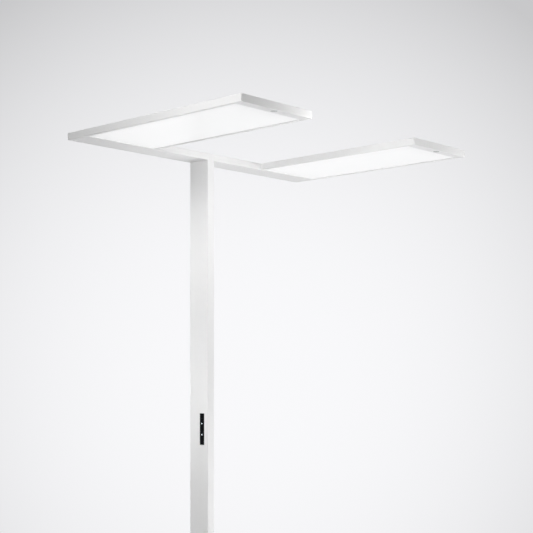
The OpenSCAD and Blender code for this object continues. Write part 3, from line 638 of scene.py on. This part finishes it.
round_edges("control_bezel", 0.35, longer_than=10, where=on_strip_front)
for key in ("upper_key", "lower_key"):
    round_edges(key, 0.45, longer_than=5, where=on_key_front)
    low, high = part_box(key + "_dot")
    centre = (low + high) / 2
    outline = dot_outline(radius=(high.z - low.z) / 2 / mm, depth=(high.x - low.x) / mm)
    dot = turned(outline, (high.x, centre.y, centre.z), (-1, 0, 0), steps=32)
    make_piece(dot, "finished_" + key + "_dot", nodes[key + "_dot"]["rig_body"], "light_dot", key + "_dot")
print("strip is", round((strip_high.z - strip_low.z) / mm), "mm long")

# %% [markdown]
# ## Sensors
#
# A round sensor sits in the middle of each head's front border and looks down for people and daylight.
# Its lens is moulded with ring-shaped zones that gather heat from different directions, so the dome isn't
# smooth: fine grooves part the rings. The outline of the dome is a formula, with a groove every few
# points.

# %% Turn the sensor lenses
sensor_low, sensor_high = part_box("sensor_lenses")
flange_r = (sensor_high.y - sensor_low.y) / 2 / mm
lens_r, flange_t, collar_h = flange_r - 1.5, 0.6, 1.6
lip_under = sensor_high.z - collar_h * mm
dome_h = (lip_under - sensor_low.z) / mm - flange_t


def lens_outline(points=26, groove_every=5, groove=0.12, soft=0.25):
    """The grooved dome, its flange and the collar above it, as (radius, height) in mm."""
    dome = []
    for step in range(points):
        radius = lens_r * step / (points - 1)
        depth = flange_t + dome_h * (1 - (radius / lens_r) ** 2)
        cut = groove if step % groove_every == groove_every - 1 and step < points - 1 else 0
        dome.append((radius, -depth + cut))
    rim = [(flange_r - soft, -flange_t), (flange_r, -flange_t + soft), (flange_r, 0), (lens_r, 0),
           (lens_r, collar_h), (0, collar_h)]
    return dome + rim


lenses = []
sensor_y = (sensor_low.y + sensor_high.y) / 2
for x in (sensor_low.x + flange_r * mm, sensor_high.x - flange_r * mm):
    lenses.append(turned(lens_outline(), (x, sensor_y, lip_under), (0, 0, 1), steps=56))
make_piece(join(lenses), "finished_sensor_lenses", "lamp", "sensor_lens", "sensor_lenses", flat_under=50)
print("dome stands", round(dome_h, 2), "mm below its flange")

# %% [markdown]
# ## Glides
#
# Four round rubber pads carry the plate and keep it off the floor by three millimetres, which draws the
# thin shadow line under it. Each is a turned disc with a rounded lower edge and a shallow groove in its
# face.

# %% Turn the glides
glide_low, glide_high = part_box("base_glides")
glide_r, glide_t = 20.0, (glide_high.z - glide_low.z) / mm
dimple_r, cut_t, edge_r, edge_middle = 6, 0.5, 1.2, 0.35
groove_in, groove_out, groove_side = glide_r - 5, glide_r - 3.6, 0.4
glide_outline = [
    (0, cut_t), (dimple_r, cut_t), (dimple_r + cut_t, 0),
    (groove_in, 0), (groove_in + groove_side, cut_t), (groove_out - groove_side, cut_t), (groove_out, 0),
    (glide_r - edge_r, 0), (glide_r - edge_middle, edge_middle), (glide_r, edge_r),
    (glide_r, glide_t), (0, glide_t),
]
pads = []
for x in (glide_low.x + glide_r * mm, glide_high.x - glide_r * mm):
    for y in (glide_low.y + glide_r * mm, glide_high.y - glide_r * mm):
        pads.append(turned(glide_outline, (x, y, glide_low.z), (0, 0, 1), steps=64))
make_piece(join(pads), "finished_base_glides", "lamp", "glide_rubber", "base_glides")

# %% [markdown]
# ## The cable gland
#
# A gland low at the back of the column is where a mains lead enters such a lamp. The lead itself isn't
# part of the model, so the gland's bore is empty. The gland's body is a hexagon that a spanner holds, and
# its cap is turned by hand: a short drum with grip ribs that closes into a dome. The drum is a lathe form,
# and the ribs are made from its own faces: every other one is inset and pushed out a little.

# %% Shape the gland's cap
cap_low, cap_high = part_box("gland_cap")
cap_middle = (cap_low + cap_high) / 2
cap_l = (cap_high.y - cap_low.y) / mm
drum_r, drum_l, mouth_r, bore_r = 9.3, 7.6, 5.6, 3.75
shoulder_r, shoulder_l = drum_r - 0.35, drum_l + 0.6
lip = 0.5


def cap_outline(dome_steps=7):
    """The drum, its shoulder, the quarter-round dome and the bore, as (radius, height) in mm."""
    outline = [(bore_r, 0), (drum_r - 0.4, 0), (drum_r, lip), (drum_r, drum_l), (shoulder_r, shoulder_l)]
    for step in range(1, dome_steps + 1):
        turn = math.pi / 2 * step / dome_steps
        radius = mouth_r + (shoulder_r - mouth_r) * math.cos(turn)
        height = shoulder_l + (cap_l - shoulder_l) * math.sin(turn)
        outline.append((radius, height))
    return outline + [(bore_r + lip, cap_l), (bore_r, cap_l - lip), (bore_r, 0)]


def out_from_axis(face):
    """From the cap's axis, which lies along Y, straight out to the middle of a face."""
    centre = face.calc_center_median()
    return Vector((centre.x - cap_middle.x, 0, centre.z - cap_middle.z))


cap = turned(cap_outline(), (cap_middle.x, cap_low.y, cap_middle.z), (0, 1, 0), steps=48)
drum_faces = [
    face for face in cap.faces
    if abs(face.normal.y) < 0.05
    and face.calc_area() > 4 * mm * mm
    and out_from_axis(face).length > (drum_r - 0.5) * mm
]
drum_faces.sort(key=lambda face: math.atan2(out_from_axis(face).z, out_from_axis(face).x))
bmesh.ops.inset_individual(cap, faces=drum_faces[::2], thickness=0.15 * mm, depth=0.5 * mm)
make_piece(cap, "finished_gland_cap", "lamp", "black_plastic", "gland_cap", flat_under=28)
hexagon_from = cap_low.y - 6 * mm
round_edges("cable_gland", 0.35, longer_than=4, where=lambda place: place.y > hexagon_from, steps=2)
print("cap has", len(drum_faces[::2]), "grip ribs")

# %% [markdown]
# ## Floor and light
#
# The floor is a plain pale disc that fades out with distance, so that no edge shows from any side. What
# the camera sees behind the lamp is a pale backdrop that darkens slowly away from the middle, and
# reflections see it too, so that gloss and metal stay bright. Light Path tells the seen backdrop from the
# dimmer light that falls on things. It also lifts the floor's tone a little where it is seen, more so
# away from the lamp, so that the floor meets the backdrop softly and still keeps the lamp's shadow.
#
# White on white only reads when every face has its own tone. A rig of small soft boxes does that, each
# one for a face or two: the side of a head runs from grey at the back to white at the front, the
# undersides stay a shade darker than the sides, and the column is darkest under the crossbar. A spread
# below 180 degrees stands for a honeycomb grid, which keeps a box's light on its own face. The small
# boxes don't show in reflections.

# %% Lay the floor
def seen_or_mirrored(tree):
    """1 where the camera sees a thing straight, in a gloss or through a clear plastic, and 0 elsewhere."""
    path = tree.nodes.new("ShaderNodeLightPath").outputs
    seen = math_node(tree, "MAXIMUM", path["Is Camera Ray"], path["Is Glossy Ray"])
    return math_node(tree, "MAXIMUM", seen, path["Is Transmission Ray"])


def pale_floor(fade_from=1.6, fade_to=5.5, lift_from=0.4, lift_to=1.8, lift_low=0.1, lift_high=0.34):
    """A pale matt floor. Distances are from the lamp in metres, and a lift of 1 is white."""
    material = bpy.data.materials.new("pale_floor")
    material.use_nodes = True
    tree = material.node_tree
    shader = tree.nodes["Principled BSDF"]
    shader.inputs["Base Color"].default_value = (0.86, 0.86, 0.865, 1)
    shader.inputs["Roughness"].default_value = 0.75
    where = tree.nodes.new("ShaderNodeTexCoord").outputs["Object"]
    distance = add_node(tree, "ShaderNodeVectorMath", {0: where}, operation="LENGTH").outputs["Value"]
    fade = add_node(tree, "ShaderNodeMapRange", {
        "Value": distance, "From Min": fade_from, "From Max": fade_to}, interpolation_type="SMOOTHSTEP")
    lift = add_node(tree, "ShaderNodeMapRange", {
        "Value": distance, "From Min": lift_from, "From Max": lift_to,
        "To Min": lift_low, "To Max": lift_high})
    lift_seen = math_node(tree, "MULTIPLY", seen_or_mirrored(tree), lift.outputs["Result"])
    glow = add_node(tree, "ShaderNodeEmission", {"Color": (1.0, 1.0, 1.02, 1.0), "Strength": lift_seen})
    lifted = add_node(tree, "ShaderNodeAddShader", {0: shader.outputs[0], 1: glow.outputs[0]})
    clear_air = tree.nodes.new("ShaderNodeBsdfTransparent")
    faded = add_node(tree, "ShaderNodeMixShader", {
        0: fade.outputs["Result"], 1: lifted.outputs[0], 2: clear_air.outputs[0]})
    tree.links.new(faded.outputs[0], tree.nodes["Material Output"].inputs["Surface"])
    return material


floor_r = 7.0
floor_bm = bmesh.new()
bmesh.ops.create_circle(floor_bm, cap_ends=True, segments=96, radius=floor_r)
floor_mesh = bpy.data.meshes.new("floor")
floor_bm.to_mesh(floor_mesh)
floor_bm.free()
floor = bpy.data.objects.new("floor", floor_mesh)
bpy.context.scene.collection.objects.link(floor)
floor.data.materials.append(pale_floor())

# %% Light the room
def backdrop_colour(tree, toward):
    """The backdrop's tone falls from its middle outwards, as a power of the distance across the view."""
    middle_tone, fall, fall_power, least_tone = 248.5 / 255, 28.5 / 255, 2.65, 0.78
    reach, display_gamma, cool = 0.3172, 2.2, 1.018
    bright_turn = view_turn - math.radians(0.6)
    ahead = Vector((math.sin(bright_turn), math.cos(bright_turn), 0))
    facing = add_node(tree, "ShaderNodeVectorMath", {0: toward, 1: ahead}, operation="DOT_PRODUCT")
    facing = math_node(tree, "MAXIMUM", math_node(tree, "ABSOLUTE", facing.outputs["Value"]), 0.05)
    squared = math_node(tree, "MULTIPLY", facing, facing)
    aside = math_node(tree, "SQRT", math_node(tree, "SUBTRACT", 1.0, squared, clamp=True))
    across = math_node(tree, "DIVIDE", math_node(tree, "DIVIDE", aside, facing), reach)
    darker = math_node(tree, "MULTIPLY", math_node(tree, "POWER", across, fall_power), fall)
    tone = math_node(tree, "MAXIMUM", math_node(tree, "SUBTRACT", middle_tone, darker), least_tone)
    pale = math_node(tree, "POWER", tone, display_gamma)
    blue = math_node(tree, "MULTIPLY", pale, cool)
    return add_node(tree, "ShaderNodeCombineColor", {0: pale, 1: pale, 2: blue}).outputs["Color"]


def studio_world(light_low=0.05, light_high=0.25):
    """A world that shows the backdrop and lights the lamp by a dimmer, upright gradient."""
    world = bpy.data.worlds.new("studio")
    world.use_nodes = True
    tree = world.node_tree
    tree.nodes.clear()
    toward = tree.nodes.new("ShaderNodeTexCoord").outputs["Generated"]
    height = add_node(tree, "ShaderNodeSeparateXYZ", {0: toward}).outputs["Z"]
    sky = add_node(tree, "ShaderNodeMapRange", {
        "Value": height, "From Min": -0.2, "From Max": 1.0, "To Min": light_low, "To Max": light_high})
    light = add_node(tree, "ShaderNodeBackground", {
        "Color": (1, 1, 1, 1), "Strength": sky.outputs["Result"]})
    backdrop = add_node(tree, "ShaderNodeBackground", {
        "Color": backdrop_colour(tree, toward), "Strength": 1.0})
    room = add_node(tree, "ShaderNodeMixShader", {
        0: seen_or_mirrored(tree), 1: light.outputs[0], 2: backdrop.outputs[0]})
    out = tree.nodes.new("ShaderNodeOutputWorld")
    tree.links.new(room.outputs[0], out.inputs["Surface"])
    return world


def soft_box(name, place, target, size, power, spread):
    """A square soft light that faces a target. Only a large one shows in reflections."""
    large = 0.35
    lamp = bpy.data.lights.new(name, "AREA")
    lamp.shape = "SQUARE"
    lamp.size = size
    lamp.energy = power
    lamp.spread = math.radians(spread)
    light = bpy.data.objects.new(name, lamp)
    bpy.context.scene.collection.objects.link(light)
    light.location = place
    light.rotation_euler = (Vector(target) - Vector(place)).to_track_quat("-Z", "Y").to_euler()
    light.visible_camera = False
    light.visible_glossy = size > large


bpy.context.scene.world = studio_world()

# Each light has its place, its target, the side of its box in metres, its power in watts and its spread.
rig = {
    "left_head_fill": ((-1.3, -0.25, 2.15), (0.0, 0.2, 1.75), 0.3, 4.45, 180),
    "left_head_edge": ((-0.95, -0.5, 1.84), (-0.465, -0.2, 1.94), 0.2, 0.28, 100),
    "left_under": ((-0.8, -0.35, 1.45), (0.2, -0.05, 1.75), 0.3, 0.8, 180),
    "left_front": ((0.0, -0.6, 1.865), (-0.4, -0.3, 1.94), 0.15, 1.38, 180),
    "right_head_edge": ((-0.02, -0.45, 1.865), (0.215, -0.25, 1.94), 0.15, 0.2, 120),
    "right_front": ((0.75, -0.8, 1.79), (0.3, -0.3, 1.94), 0.3, 3.3, 180),
    "bar_front": ((-0.02, -0.55, 1.75), (0.0, 0.23, 1.9), 0.2, 0.42, 90),
    "column_high": ((-0.9, 0.35, 1.62), (-0.013, 0.27, 1.74), 0.15, 0.11, 40),
    "column_middle": ((-0.9, -0.1, 1.2), (0.0, 0.25, 1.3), 0.4, 0.5, 180),
    "column_low": ((-1.2, 0.1, 1.0), (-0.013, 0.27, 1.3), 0.3, 0.92, 60),
    "column_right": ((0.9, -0.3, 0.9), (0.0, 0.23, 1.0), 0.5, 7.8, 180),
    "behind_low": ((0.45, 0.9, 1.2), (0.25, 0.27, 1.93), 0.4, 0.6, 120),
    "behind": ((1.4, 2.1, 2.6), (0.0, 0.2, 1.3), 1.2, 25.0, 180),
    "above": ((0.1, 0.0, 3.4), (0.1, 0.0, 0.0), 1.6, 8.0, 180),
    "base_left": ((-1.2, -0.8, 0.75), (0.0, 0.25, 0.35), 0.5, 0.9, 40),
    "base_behind": ((0.8, 1.3, 0.75), (0.0, 0.25, 0.35), 0.5, 0.9, 40),
}
for light_name, (place, target, size, power, spread) in rig.items():
    soft_box(light_name, place, target, size, power, spread)
